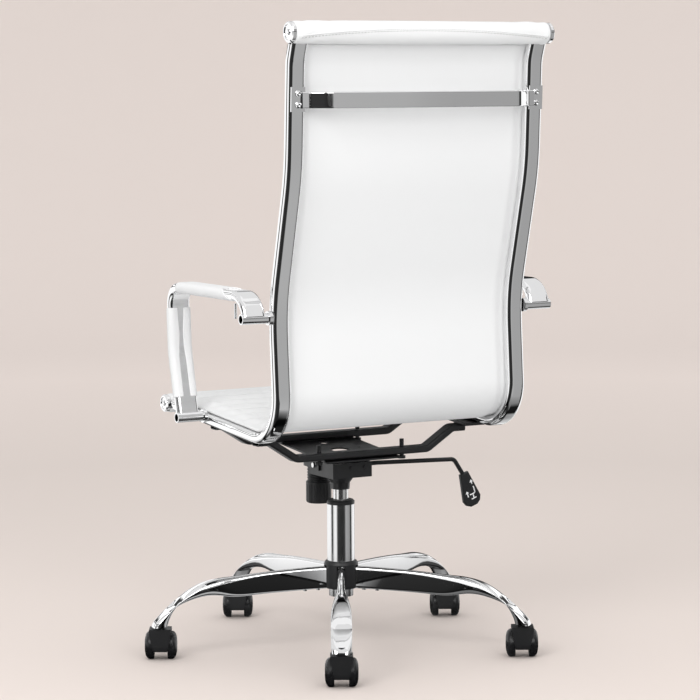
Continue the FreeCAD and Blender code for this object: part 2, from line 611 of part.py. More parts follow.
# ---------------------------------------------------------------- seat carrier
def build_bar(name, at_y, rise, flat, up, lift):
    """A hollow crossbar, flat in the middle and raised towards both ends."""
    body = new_body(name)
    low = "bar_rear_z + " + rise
    high = low + " + " + lift
    away = at_y[4:] if at_y.startswith("0 - ") else "0 - " + at_y
    path = new_sketch(body, "XZ_Plane", name + "_path", ("0", "0", away))
    trace(path, [("0 - bar_reach", high), ("0 - " + up, high), ("0 - " + flat, low),
                 (flat, low), (up, high), ("bar_reach", high)], ["bar_bend"] * 4)
    ring = new_sketch(body, "YZ_Plane", name + "_ring", (at_y, high, "0 - bar_reach"))
    rounded_box(ring, "bar_deep", "bar_tall", "bar_corner")
    pipe(body, ring, path, name + "_sweep")
    hollow = new_sketch(body, "YZ_Plane", name + "_bore", (at_y, high, "0 - bar_reach"))
    rounded_box(hollow, "bar_bore_deep", "bar_bore_tall", "bar_bore_corner")
    pipe(body, hollow, path, name + "_hollow", "PartDesign::SubtractivePipe")
    return body


def seat_line(y):
    """Height of the rail's centre line on its straight under the seat."""
    slope = (CELLS["front_z"] - CELLS["bend_z"]) / (CELLS["front_y"] + CELLS["bend_y"])
    return CELLS["front_z"] - slope * (CELLS["front_y"] + y)


def build_strips():
    """A flat strip under each rail, with a pad down to each crossbar and a screw head below."""
    under = CELLS["rail_thick"] / 2 + 0.3
    tops = {"rear": "bar_rear_z + bar_lift + bar_tall/2",
            "front": "bar_rear_z + bar_rise + front_lift + bar_tall/2"}
    strips = []
    for number, middle in enumerate(("strip_x", "0 - strip_x")):
        body = new_body("strip_%d" % number)
        side = new_sketch(body, "YZ_Plane", "strip_side_%d" % number, ("0", "0", middle))
        rear = str(round(seat_line(CELLS["strip_rear"]) - under, 3))
        front = str(round(seat_line(-CELLS["strip_front"]) - under, 3))
        polygon(side, [("strip_rear", rear), ("0 - strip_front", front),
                       ("0 - strip_front", front + " - strip_thick"),
                       ("strip_rear", rear + " - strip_thick")])
        pad(body, side, "strip_wide", "strip_pad_%d" % number, both=True)
        inner = " - 16" if number == 0 else " + 0"
        pads = [box("strip_foot_%s_%d" % (spot, number), ("16", "22", "3.5"),
                    (middle + inner, y + " - 11", tops[spot] + " + 0.2"))
                for spot, y in (("rear", "bar_rear_y"), ("front", "0 - bar_front_y"))]
        strips.append(fuse("strip_whole_%d" % number, [body] + pads))
    keep(bundle("strips", strips), "seat_side_strips")


def build_plate():
    """The sloped plate under both crossbars, with two ears for the tilt pivot."""
    body = new_body("plate")
    lean = CELLS["bar_rise"] / (CELLS["bar_rear_y"] + CELLS["bar_front_y"])
    rear_top = CELLS["bar_rear_z"] - CELLS["bar_tall"] / 2 - 1.5
    heights = {y: str(round(rear_top + lean * (CELLS["bar_rear_y"] - y), 3))
               for y in (CELLS["plate_rear"], -CELLS["plate_front"])}
    side = new_sketch(body, "YZ_Plane", "plate_side")
    rear = heights[CELLS["plate_rear"]]
    front = heights[-CELLS["plate_front"]]
    polygon(side, [("plate_rear", rear), ("plate_rear", rear + " - plate_gauge"),
                   ("0 - plate_front", front + " - plate_gauge"), ("0 - plate_front", front)])
    pad(body, side, "plate_half + plate_half", "plate_pad", both=True)
    holes = new_sketch(body, "XY_Plane", "plate_holes", ("0", "0", "400"))
    circle(holes, "0", "hole_y", "hole_rad")
    circle(holes, "0", "0 - 62", "9")
    pocket(body, holes, "80", "plate_openings")
    ears = []
    for number, start in enumerate(("ear_gap", "0 - ear_gap - ear_thick")):
        ears.append(box("ear_%d" % number, ("ear_thick", "ear_half + ear_half", "38"),
                        (start, "0 - pivot_y - ear_half", "ear_low")))
    hole = cylinder("ear_holes", "pin_rad + 0.3", "120", ("-60", "0 - pivot_y", "pivot_z"), "x")
    return cut("plate_pierced", fuse("plate_with_ears", [body] + ears), hole)


def build_carrier():
    plate = build_plate()
    build_strips()
    rear = build_bar("rear_bar", "bar_rear_y", "0", "bar_flat", "bar_up", "bar_lift")
    front = build_bar("front_bar", "0 - bar_front_y", "bar_rise", "front_flat", "front_up", "front_lift")
    studs = []
    spots = [(side, y, rise) for y, rise in (("bar_rear_y", "0"), ("0 - bar_front_y", "bar_rise"))
             for side in ("stud_x", "0 - stud_x")]
    for number, (side, y, rise) in enumerate(spots):
        low = "bar_rear_z - bar_tall/2 - 4 + " + rise
        shank = cylinder("stud_%d" % number, "stud_rad", "bar_tall + 4 + stud_up", (side, y, low))
        head = cylinder("stud_head_%d" % number, "nut_rad", "nut_tall", (side, y, low + " - nut_tall + 0.4"))
        studs.append(fuse("stud_joined_%d" % number, [shank, head]))
    bolts = bundle("studs", studs)
    DOC.recompute()
    keep(cut("rear_bar_drilled", rear, moved(bolts, "rear_drill", about_z(0))), "rear_crossbar")
    keep(cut("front_bar_drilled", front, moved(bolts, "front_drill", about_z(0))), "front_crossbar")
    keep(plate, "tilt_top_plate")
    keep(bolts, "crossbar_studs")


RAIL_CORNERS = [("0 - front_y", "front_z"), ("bend_y", "bend_z"), ("lumbar_y", "lumbar_z"),
                ("upper_y", "upper_z"), ("neck_y", "neck_z"), ("head_y", "head_z")]
RAIL_RADII = ["bend_rad", "lumbar_rad", "upper_rad", "neck_rad"]


def sweep_side(name, corners, radii, across, section, bore=None):
    body = new_body(name)
    path = new_sketch(body, "YZ_Plane", name + "_path", ("0", "0", across))
    trace(path, corners, radii)
    ring = side_profile(body, name + "_ring", corners, across)
    rounded_box(ring, *section)
    pipe(body, ring, path, name + "_sweep")
    if bore:
        hollow = side_profile(body, name + "_bore", corners, across)
        rounded_box(hollow, *bore)
        pipe(body, hollow, path, name + "_hollow", "PartDesign::SubtractivePipe")
    return body


def along_x(name, radius, half, y, z):
    return cylinder(name, radius, half + " + " + half, ("0 - " + half.replace(" + ", " - "), y, z), "x")


ROLLS = (("head", "head_rad", "head_y", "head_z"), ("front", "front_rad", "0 - front_y", "front_z"))


def build_rails():
    cores = [along_x("core_" + n, "roll_tube + roll_fit", "roll_half + 20", y, z) for n, _, y, z in ROLLS]
    for name, radius, y, z in ROLLS:
        for tag, start in (("left", "roll_half - 0.3"), ("right", "0 - roll_half - 29.7")):
            cores.append(cylinder("cap_room_%s_%s" % (name, tag), radius, "30", (start, y, z), "x"))
    cores = fuse("roll_cores", cores)
    for side, across in (("left", "rail_x"), ("right", "0 - rail_x")):
        rail = sweep_side("rail_" + side, RAIL_CORNERS, RAIL_RADII, across,
                          ("rail_wide", "rail_thick", "rail_corner"),
                          ("rail_bore_wide", "rail_bore_thick", "rail_bore_corner"))
        DOC.recompute()
        tool = moved(cores, "rail_trim_" + side, about_z(0))
        keep(cut("rail_cut_" + side, rail, tool), "side_rail_" + side)


def rail_lean(head):
    """Angle of the rail's end above level, at the head roll or at the front roll."""
    near, far = (RAIL_CORNERS[-1], RAIL_CORNERS[-2]) if head else (RAIL_CORNERS[0], RAIL_CORNERS[1])
    return math.degrees(math.atan2(amount(far[1]) - amount(near[1]), amount(far[0]) - amount(near[0])))


def build_rolls():
    tubes = []
    caps = []
    for name, radius, y, z in ROLLS:
        cover = along_x(name + "_cover", radius, "roll_half", y, z)
        bore = along_x(name + "_bore", "roll_tube + roll_fit", "roll_half + 1", y, z)
        slots = [bore]
        for number, across in enumerate(("rail_x", "0 - rail_x")):
            slot = box("%s_slot_%d" % (name, number), ("slot_wide", "60", "slot_thick"),
                       (across + " - slot_wide/2", y, z), ((1, 0, 0), rail_lean(name == "head")))
            lean = slot.Placement.Rotation
            shift = lean.multVec(FreeCAD.Vector(0, 0, -CELLS["slot_thick"] / 2))
            corner = (("x", across + " - slot_wide/2", shift.x), ("y", y, shift.y), ("z", z, shift.z))
            for letter, text, delta in corner:
                slot.setExpression("Placement.Base." + letter, "%s + %.6f" % (formula(text), delta))
            slots.append(slot)
        keep(cut(name + "_cover_cut", cover, fuse(name + "_slots", slots)), name + "_roll_cover")
        outer = along_x(name + "_tube", "roll_tube", "roll_half", y, z)
        inner = along_x(name + "_tube_bore", "roll_tube_bore", "roll_half + 1", y, z)
        tubes.append(cut(name + "_tube_hollow", outer, inner))
        for tag, sign in (("left", 1), ("right", -1)):
            caps.append(end_cap(name + "_cap_" + tag, radius, y, z, sign))
    keep(bundle("tubes", tubes), "roll_tubes")
    keep(bundle("caps", caps), "roll_end_caps")


def end_cap(name, radius, y, z, sign):
    """A turned cap with a raised ring and a centre screw, facing out along X."""
    rim = amount(radius) - CELLS["cap_gap"]
    thick = CELLS["cap_thick"]
    body = turn(name, [("0", "-8"), ("roll_tube_bore - 0.5", "-8"), ("roll_tube_bore - 0.5", "0.3"),
                       (str(rim), "0.3"), (str(rim), str(thick - 3)), (str(rim - 2), str(thick - 1)),
                       (str(rim - 4.5), str(thick - 1)), (str(rim - 5.5), str(thick - 2.5)),
                       ("5", str(thick - 2.5)), ("4.6", str(thick - 0.8)), ("3.4", str(thick)),
                       ("0", str(thick))])
    angle = 90 if sign > 0 else -90
    base = FreeCAD.Vector(sign * CELLS["roll_half"], amount(y), amount(z))
    body.Placement = FreeCAD.Placement(base, FreeCAD.Rotation(FreeCAD.Vector(0, 1, 0), angle))
    return body


def build_sling():
    first = FreeCAD.Vector(amount("0 - front_y"), amount("front_z"), 0)
    second = FreeCAD.Vector(amount("bend_y"), amount("bend_z"), 0)
    start = first + (second - first).normalize() * (CELLS["front_rad"] + 0.3)
    neck = FreeCAD.Vector(amount("neck_y"), amount("neck_z"), 0)
    head = FreeCAD.Vector(amount("head_y"), amount("head_z"), 0)
    end = head + (neck - head).normalize() * (CELLS["head_rad"] + 0.3)
    corners = [(str(round(start.x, 3)), str(round(start.y, 3)))] + RAIL_CORNERS[1:-1]
    corners.append((str(round(end.x, 3)), str(round(end.y, 3))))
    body = new_body("sling")
    path = new_sketch(body, "YZ_Plane", "sling_path")
    trace(path, corners, ["bend_rad", "lumbar_rad", "upper_rad", "20"])
    tilt = math.degrees(math.atan2(-(second.y - start.y), -(second.x - start.x)))
    ring = new_sketch(body, "XZ_Plane", "sling_ring", ("0", corners[0][1], str(-start.x)), tilt)
    # the tilted sketch looks along the path, so its own Y points down at the seat
    half = "sling_thick/2"
    polygon(ring, [("0 - sling_half", "0 - sling_set - " + half), ("sling_half", "0 - sling_set - " + half),
                   ("sling_half", "0 - sling_set + " + half), ("0 - sling_half", "0 - sling_set + " + half)])
    pipe(body, ring, path, "sling_sweep")
    keep(body, "sling_pad")


def build_brace():
    body = new_body("brace")
    path = new_sketch(body, "XY_Plane", "brace_path", ("0", "0", "brace_z - brace_drop/2"))
    trace(path, [("0 - brace_end_x", "brace_end_y + 0.4"), ("0 - brace_turn_x - 14", "brace_end_y + 2"),
                 ("0 - brace_turn_x + 12", "brace_turn_y"), ("0", "brace_mid_y"),
                 ("brace_turn_x - 12", "brace_turn_y"), ("brace_turn_x + 14", "brace_end_y + 2"),
                 ("brace_end_x", "brace_end_y + 0.4")],
          ["12", "26", "700", "26", "12"])
    ring = new_sketch(body, "YZ_Plane", "brace_ring",
                      ("brace_end_y + 0.4", "brace_z - brace_drop/2", "0 - brace_end_x"))
    rounded_box(ring, "brace_thick", "brace_tall", "brace_corner")
    pipe(body, ring, path, "brace_sweep")
    tabs = []
    screws = []
    lean = ((1, 0, 0), -CELLS["tab_lean"])
    rear = rail_back(CELLS["brace_z"])
    for number, side in enumerate(("rail_x", "0 - rail_x")):
        spot = (side + " - tab_wide/2", str(round(rear + 0.1 - 1.02, 3)), "brace_z - tab_tall/2")
        tabs.append(box("tab_%d" % number, ("tab_wide", "tab_thick", "tab_tall"), spot, lean))
        for level, high in enumerate(("brace_z + screw_gap", "brace_z - screw_gap")):
            at = (side, str(round(rail_back(amount(high)) + CELLS["tab_thick"], 3)), high)
            screws.append(button_screw("screw_%d_%d" % (number, level), at))
    heads = bundle("screws", screws)
    DOC.recompute()
    joined = fuse("brace_joined", [body] + tabs)
    keep(cut("brace_seated", joined, moved(heads, "screw_seats", about_z(0))), "back_brace")
    keep(heads, "frame_screws")


def rail_back(height):
    """Y of the rail's rear face on its upper straight, at a given height."""
    slope = (CELLS["neck_y"] - CELLS["upper_y"]) / (CELLS["neck_z"] - CELLS["upper_z"])
    return CELLS["upper_y"] + slope * (height - CELLS["upper_z"]) + CELLS["rail_thick"] / 2


def button_screw(name, at):
    body = turn(name, [("0", "0.1"), ("screw_rad", "0.1"), ("screw_rad", "1.2"),
                       ("screw_rad - 1.2", "screw_tall - 1"), ("screw_rad - 2.4", "screw_tall"),
                       ("2.2", "screw_tall"), ("2.2", "screw_tall - 2.2"), ("0", "screw_tall - 2.2")])
    base = FreeCAD.Vector(*[amount(text) for text in at])
    face_back = FreeCAD.Rotation(FreeCAD.Vector(1, 0, 0), -90 - CELLS["tab_lean"])
    body.Placement = FreeCAD.Placement(base, face_back)
    return body


# ---------------------------------------------------------------- arms
ARM_CORNERS = [("arm_rear_y", "arm_rear_z"), ("arm_top_y", "arm_top_z"), ("0 - arm_fore_y", "arm_top_z"),
               ("0 - arm_mid_y", "arm_mid_z"), ("0 - arm_low_y", "arm_low_z")]
MOUNTS = (("rear", "mount_rear_y", "mount_rear_z"), ("front", "0 - mount_front_y", "mount_front_z"))


def build_arms():
    section = ("arm_wide", "arm_thick", "arm_corner")
    inside = ("arm_bore_wide", "arm_bore_thick", "arm_bore_corner")
    outer = ("sleeve_wide", "sleeve_thick", "sleeve_corner")
    bore = ("sleeve_bore_wide", "sleeve_bore_thick", "sleeve_bore_corner")
    mounts = []
    pulls = []
    for side, sign in (("left", ""), ("right", "0 - ")):
        across = sign + "arm_x"
        loop = sweep_side("arm_" + side, ARM_CORNERS, ["arm_rear_rad", "arm_fore_rad", "arm_mid_rad"], across,
                          section, inside)
        trims = []
        for spot, y, z in MOUNTS:
            near, far = ("mount_in", "mount_out") if side == "left" else ("0 - mount_out", "0 - mount_in")
            length = "mount_out - mount_in"
            name = "%s_mount_%s" % (side, spot)
            trims.append(cylinder(name + "_trim", "mount_rad", length + " + 40", (near + " - 20", y, z), "x"))
            tube = cylinder(name + "_tube", "mount_rad", length, (near, y, z), "x")
            mouth = "mount_out - 24" if side == "left" else "0 - mount_out - 1"
            hole = cylinder(name + "_hole", "mount_bore", "25", (mouth, y, z), "x")
            ring_at = "mount_in" if side == "left" else "0 - mount_in - collar_wide"
            collar = cylinder(name + "_collar", "collar_rad", "collar_wide", (ring_at, y, z), "x")
            mounts.append(fuse(name, [cut(name + "_open", tube, hole), collar]))
        keep(cut("arm_trimmed_" + side, loop, fuse("arm_trims_" + side, trims)), "arm_frame_" + side)
        lying = [("pad_rear", "arm_top_z"), ("0 - pad_front", "arm_top_z")]
        top = sweep_side("top_sleeve_" + side, lying, [], across, outer, bore)
        keep(top, "arm_top_sleeve_" + side)
        standing = [("0 - upright_top_y", "upright_top_z"), ("0 - arm_mid_y", "arm_mid_z"),
                    ("0 - upright_low_y", "upright_low_z")]
        front = sweep_side("front_sleeve_" + side, standing, ["arm_mid_rad"], across, outer, bore)
        keep(front, "arm_front_sleeve_" + side)
        outward = " + 8" if side == "left" else " - 8"
        pulls.append(cylinder("pull_" + side, "pull_rad", "pull_long",
                              (across + outward, "pull_y", "pull_top - pull_long")))
    keep(bundle("mounts", mounts), "arm_mounts")
    keep(bundle("pulls", pulls), "zip_pulls")


# ---------------------------------------------------------------- castors
def build_caster():
    """One twin-wheel castor with its stem on Z and its axle behind it along -Y."""
    axle_z = "wheel_rad"
    web = cylinder("web", "web_rad", "web_half + web_half", ("0 - web_half", "0 - caster_trail", axle_z), "x")
    hood_round = cylinder("hood_round", "hood_out", "hood_half_top + hood_half_top",
                          ("0 - hood_half_top", "0 - caster_trail", axle_z), "x")
    hood_void = cylinder("hood_void", "hood_in", "hood_half_top + hood_half_top + 2",
                         ("0 - hood_half_top - 1", "0 - caster_trail", axle_z), "x")
    rear = box("hood_rear", ("60", "60", "80"), ("-30", "0 - caster_trail - 64", "-10"))
    below = box("hood_below", ("60", "80", "hood_low + 10"), ("-30", "0 - caster_trail - 40", "-10"))
    boss = cylinder("boss", "neck_boss_rad", "neck_top - neck_low", ("0", "0", "neck_low"))
    taper = new_body("hood_taper")
    face = new_sketch(taper, "XZ_Plane", "hood_face", ("0", "0", "-60"))
    polygon(face, [("0 - hood_half_low", "hood_low"), ("hood_half_low", "hood_low"), ("hood_half_top", "51"),
                   ("hood_half_top", "66"), ("0 - hood_half_top", "66"), ("0 - hood_half_top", "51")])
    pad(taper, face, "120", "hood_taper_pad")
    crown = box("hood_crown", ("60", "hood_front + caster_trail + 4", "hood_top - wheel_rad"),
                ("-30", "0 - caster_trail - 4", "wheel_rad"))
    shell = cut("hood_shell", fuse("hood_outside", [hood_round, crown]), hood_void)
    trimmed = cut("hood_trimmed", shell, rear)
    hood = DOC.addObject("Part::MultiCommon", "hood")
    hood.Shapes = [trimmed, taper]
    bridge = box("hood_bridge", ("web_half + web_half", "30", "10"),
                 ("0 - web_half", "0 - caster_trail - 2", "41"))
    body = fuse("housing_solid", [web, hood, boss, bridge])
    cleared = cut("housing_cleared", body, below)
    bore = cylinder("axle_hole", "axle_rad", "80", ("-40", "0 - caster_trail", axle_z), "x")
    stem = cylinder("stem", "stem_rad", "stem_top - neck_low - 6", ("0", "0", "neck_low + 6"))
    block = cut("housing", cleared, fuse("housing_holes", [bore, stem]))
    axle = cylinder("axle", "axle_rad", "axle_half + axle_half",
                    ("0 - axle_half", "0 - caster_trail", axle_z), "x")
    DOC.recompute()
    fork = bundle("caster", [block, moved(stem, "stem_solid", about_z(0)), axle])

    wheel = turn("wheel", [
        ("wheel_bore", "wheel_in"), ("wheel_rad - 1", "wheel_in"), ("wheel_rad", "wheel_in + 1"),
        ("wheel_rad", "wheel_out - 7.8"), ("wheel_rad - 1.1", "wheel_out - 5.4"),
        ("wheel_rad - 3", "wheel_out - 3.5"), ("wheel_rad - 6", "wheel_out - 1.7"),
        ("wheel_rad - 12", "wheel_out - 0.4"), ("8", "wheel_out"), ("0", "wheel_out"),
        ("0", "axle_half + 0.6"), ("wheel_bore", "axle_half + 0.6")])
    DOC.recompute()
    return fork, wheel


def build_casters():
    fork, wheel = build_caster()
    to_side = FreeCAD.Rotation(FreeCAD.Vector(0, 1, 0), 90)
    for number, angle in enumerate(leg_angles()):
        spot = about_z(-angle).multVec(FreeCAD.Vector(0, CELLS["stem_circle"], 0))
        stand = about_z(-CELLS["star_turn"], spot.x, spot.y)
        copy_of(fork, "caster_fork_%d" % (number + 1), stand)
        for tag, roll in (("a", to_side), ("b", to_side.inverted())):
            hub = FreeCAD.Placement(FreeCAD.Vector(0, -CELLS["caster_trail"], CELLS["wheel_rad"]), roll)
            copy_of(wheel, "caster_wheel_%d%s" % (number + 1, tag), stand.multiply(hub))


# ---------------------------------------------------------------- build, check, export
def check(obj):
    bad = {"Invalid", "Error"} & set(obj.State)
    if bad or obj.Shape.isNull() or not obj.Shape.isValid() or not obj.Shape.Solids:
        raise RuntimeError("%s is not sound: %s" % (obj.Label, obj.State))


build_base()
build_lift()
build_housing()
build_tension()
build_lever()
build_carrier()
build_rails()
build_rolls()
build_sling()
build_brace()
build_arms()
build_casters()
DOC.recompute()
for item in DOC.Objects:
    if {"Invalid", "Error"} & set(item.State):
        raise RuntimeError("%s does not compute: %s" % (item.Label, item.State))
for node in NODES:
    check(node)
    node.Shape.exportStep("parts/%s.step" % node.Label)
print("nodes:", len(NODES))
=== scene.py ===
import json
import math

import bmesh
import bpy
import numpy as np
from mathutils import Matrix, Vector


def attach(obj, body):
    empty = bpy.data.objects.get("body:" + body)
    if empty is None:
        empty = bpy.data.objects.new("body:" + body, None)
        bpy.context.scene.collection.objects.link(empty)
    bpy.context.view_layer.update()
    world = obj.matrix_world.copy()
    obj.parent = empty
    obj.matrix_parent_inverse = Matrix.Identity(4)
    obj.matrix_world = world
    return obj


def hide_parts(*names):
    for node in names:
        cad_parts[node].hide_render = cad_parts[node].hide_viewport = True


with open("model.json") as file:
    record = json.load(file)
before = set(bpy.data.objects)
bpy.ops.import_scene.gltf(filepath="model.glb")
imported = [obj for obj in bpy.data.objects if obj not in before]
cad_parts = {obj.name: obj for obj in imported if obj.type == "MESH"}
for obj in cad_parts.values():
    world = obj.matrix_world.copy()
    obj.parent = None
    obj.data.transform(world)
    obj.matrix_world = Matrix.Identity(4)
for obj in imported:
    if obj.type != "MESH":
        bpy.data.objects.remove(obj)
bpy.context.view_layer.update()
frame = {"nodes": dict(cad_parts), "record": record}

# Swivel office chair. Metres, row frame: Z up, the chair faces -Y, +X is the sitter's left.
SCENE = bpy.context.scene

RAIL_X = 0.235
RAIL_PATH = [(-0.2014, 0.445), (0.2247, 0.4122), (0.2093, 0.6483), (0.2682, 0.8775),
             (0.2776, 1.065), (0.2946, 1.1107)]
RAIL_BENDS = [0.076, 0.33, 0.40, 0.07]
HEAD = (0.2946, 1.1107, 0.020)
FRONT = (-0.2014, 0.445, 0.018)
ROLL_HALF = 0.250
SLING_HALF = 0.2455
SLING_BACK = 0.010
SLING_FACE = 0.0165
CHANNEL = 0.042
ARM_X = 0.286
ARM_TOP_Z = 0.669
SLEEVE = (0.0452, 0.0198, 0.0095)
THREAD_PITCH = 0.0062
FLOOR_REACH = 5.6
WALL_CURVE = 2.4
WALL_TOP = 5.0


# ---------------------------------------------------------------- paths and meshes
def rounded_path(corners, radii, step):
    """Points every step metres, with their directions, along lines joined by tangent arcs."""
    spots = [np.array(c, float) for c in corners]
    fine = [spots[0]]
    for before, corner, after, rad in zip(spots, spots[1:], spots[2:], radii):
        back = (before - corner) / np.linalg.norm(before - corner)
        ahead = (after - corner) / np.linalg.norm(after - corner)
        half = math.acos(float(np.clip(back @ ahead, -1, 1))) / 2
        reach = rad / math.tan(half)
        mid = (back + ahead) / np.linalg.norm(back + ahead)
        centre = corner + mid * rad / math.sin(half)
        first = corner + back * reach - centre
        last = corner + ahead * reach - centre
        sweep = math.pi - 2 * half
        for k in range(33):
            a = sweep * k / 32
            fine.append(centre + (first * math.sin(sweep - a) + last * math.sin(a)) / math.sin(sweep))
    fine.append(spots[-1])
    fine = np.array(fine)
    run = np.concatenate([[0], np.cumsum(np.linalg.norm(np.diff(fine, axis=0), axis=1))])
    count = max(2, int(round(run[-1] / step)) + 1)
    at = np.linspace(0, run[-1], count)
    pts = np.stack([np.interp(at, run, fine[:, k]) for k in range(2)], 1)
    dirs = np.gradient(pts, at, axis=0)
    dirs /= np.linalg.norm(dirs, axis=1)[:, None]
    return at, pts, dirs


def grid_object(name, grid, wrap_v=False, caps=False):
    """A quad mesh over grid[u][v] of points; caps closes the first and last u rows."""
    nu, nv = grid.shape[:2]
    faces = []
    for u in range(nu - 1):
        for v in range(nv if wrap_v else nv - 1):
            u1, v1 = u + 1, (v + 1) % nv
            faces.append((u * nv + v, u1 * nv + v, u1 * nv + v1, u * nv + v1))
    verts = grid.reshape(-1, 3)
    if caps:
        faces.append(tuple(range(nv)))
        faces.append(tuple((nu - 1) * nv + v for v in reversed(range(nv))))
    return mesh_object(name, verts, faces)


def mesh_object(name, verts, faces, smooth=True):
    mesh = bpy.data.meshes.new(name)
    mesh.from_pydata([tuple(map(float, v)) for v in verts], [], faces)
    mesh.validate()
    work = bmesh.new()
    work.from_mesh(mesh)
    bmesh.ops.recalc_face_normals(work, faces=work.faces)
    work.to_mesh(mesh)
    work.free()
    for poly in mesh.polygons:
        poly.use_smooth = smooth
    obj = bpy.data.objects.new(name, mesh)
    SCENE.collection.objects.link(obj)
    return obj


def add_subsurf(obj):
    mod = obj.modifiers.new("smooth", "SUBSURF")
    mod.levels = 1
    mod.render_levels = 1


def relax(obj, pin, pressure=4.0, cap=0.004, shrink=-0.03):
    """A short cloth run at constant pressure; pinned points stay, and no point moves past cap."""
    start = np.array([v.co for v in obj.data.vertices])
    group = obj.vertex_groups.new(name="pin")
    for index, weight in enumerate(pin):
        if weight > 0:
            group.add([index], float(weight), "REPLACE")
    mod = obj.modifiers.new("cloth", "CLOTH")
    cloth = mod.settings
    cloth.quality = 4
    cloth.mass = 0.3
    cloth.tension_stiffness = 18
    cloth.compression_stiffness = 12
    cloth.shear_stiffness = 8
    cloth.bending_stiffness = 0.6
    cloth.air_damping = 5
    cloth.effector_weights.gravity = 0
    cloth.use_pressure = True
    cloth.uniform_pressure_force = pressure
    cloth.shrink_min = shrink
    cloth.vertex_group_mass = "pin"
    mod.point_cache.frame_start = 1
    mod.point_cache.frame_end = 20
    for number in range(1, 21):
        SCENE.frame_set(number)
    shown = obj.evaluated_get(bpy.context.evaluated_depsgraph_get()).to_mesh()
    end = np.array([v.co for v in shown.vertices])
    obj.modifiers.remove(mod)
    SCENE.frame_set(1)
    move = end - start
    size = np.linalg.norm(move, axis=1)
    move *= np.minimum(1, cap / np.maximum(size, 1e-9))[:, None]
    for vertex, place in zip(obj.data.vertices, start + move):
        vertex.co = place
    obj.vertex_groups.clear()
    obj.data.update()
    return obj


def capsules(name, starts, ends, radius, mat, sides=6):
    """Many short rounded threads in one mesh, one from each start to each end."""
    verts = []
    faces = []
    for a, b in zip(starts, ends):
        a, b = np.array(a, float), np.array(b, float)
        line = b - a
        line /= np.linalg.norm(line)
        side = np.cross(line, (0.3, 0.5, 0.8))
        side /= np.linalg.norm(side)
        other = np.cross(line, side)
        base = len(verts)
        rings = [(a, 0.45), (a + line * radius * 0.8, 1), (b - line * radius * 0.8, 1), (b, 0.45)]
        for spot, width in rings:
            for k in range(sides):
                angle = 2 * math.pi * k / sides
                verts.append(spot + (side * math.cos(angle) + other * math.sin(angle)) * radius * width)
        for ring in range(3):
            for k in range(sides):
                n = (k + 1) % sides
                faces.append((base + ring * sides + k, base + ring * sides + n,
                              base + (ring + 1) * sides + n, base + (ring + 1) * sides + k))
        faces.append(tuple(base + k for k in reversed(range(sides))))
        faces.append(tuple(base + 3 * sides + k for k in range(sides)))
    obj = mesh_object(name, verts, faces)
    obj.data.materials.append(mat)
    return obj


# ---------------------------------------------------------------- materials
def new_material(name, base, metal=0.0, rough=0.4, coat=0.0, sheen=0.0):
    mat = bpy.data.materials.new(name)
    mat.use_nodes = True
    shader = mat.node_tree.nodes["Principled BSDF"]
    shader.inputs["Base Color"].default_value = (*base, 1)
    shader.inputs["Metallic"].default_value = metal
    shader.inputs["Roughness"].default_value = rough
    shader.inputs["Coat Weight"].default_value = coat
    shader.inputs["Sheen Weight"].default_value = sheen
    return mat, shader


def add_node(mat, kind, **values):
    node = mat.node_tree.nodes.new(kind)
    for key, value in values.items():
        if key in node.inputs:
            node.inputs[key].default_value = value
        else:
            setattr(node, key, value)
    return node


def link(mat, source, target):
    mat.node_tree.links.new(source, target)


def rough_from_noise(mat, shader, scale, low, high):
    coord = add_node(mat, "ShaderNodeTexCoord")
    noise = add_node(mat, "ShaderNodeTexNoise", Scale=scale, Detail=4.0)
    ramp = add_node(mat, "ShaderNodeMapRange")
    ramp.inputs["To Min"].default_value = low
    ramp.inputs["To Max"].default_value = high
    link(mat, coord.outputs["Object"], noise.inputs["Vector"])
    link(mat, noise.outputs["Fac"], ramp.inputs["Value"])
    link(mat, ramp.outputs["Result"], shader.inputs["Roughness"])
    return coord


def bump_from(mat, shader, source, strength, distance):
    bump = add_node(mat, "ShaderNodeBump", Strength=strength, Distance=distance)
    link(mat, source, bump.inputs["Height"])
    link(mat, bump.outputs["Normal"], shader.inputs["Normal"])
    return bump


def make_chrome(name, tone=0.86, rough=0.035):
    mat, shader = new_material(name, (tone, tone, tone * 1.005), 1.0, rough)
    rough_from_noise(mat, shader, 35, rough * 0.7, rough * 1.5)
    return mat


def make_leather(name, tone):
    mat, shader = new_material(name, tone, 0.0, 0.5, 0.0, 0.05)
    shader.inputs["Specular IOR Level"].default_value = 0.3
    coord = rough_from_noise(mat, shader, 60, 0.50, 0.62)
    cells = add_node(mat, "ShaderNodeTexVoronoi", Scale=1100.0)
    cells.feature = "DISTANCE_TO_EDGE"
    link(mat, coord.outputs["Object"], cells.inputs["Vector"])
    soft = add_node(mat, "ShaderNodeTexNoise", Scale=420.0, Detail=3.0)
    link(mat, coord.outputs["Object"], soft.inputs["Vector"])
    both = add_node(mat, "ShaderNodeMath", operation="MULTIPLY_ADD")
    both.inputs[1].default_value = 0.6
    link(mat, cells.outputs["Distance"], both.inputs[0])
    link(mat, soft.outputs["Fac"], both.inputs[2])
    bump_from(mat, shader, both.outputs["Value"], 0.16, 0.0004)
    return mat


def make_plastic(name, tone, low, high, scale, strength):
    mat, shader = new_material(name, tone, 0.0, low)
    coord = rough_from_noise(mat, shader, 90, low, high)
    grain = add_node(mat, "ShaderNodeTexNoise", Scale=scale, Detail=2.0)
    link(mat, coord.outputs["Object"], grain.inputs["Vector"])
    bump_from(mat, shader, grain.outputs["Fac"], strength, 0.0003)
    return mat


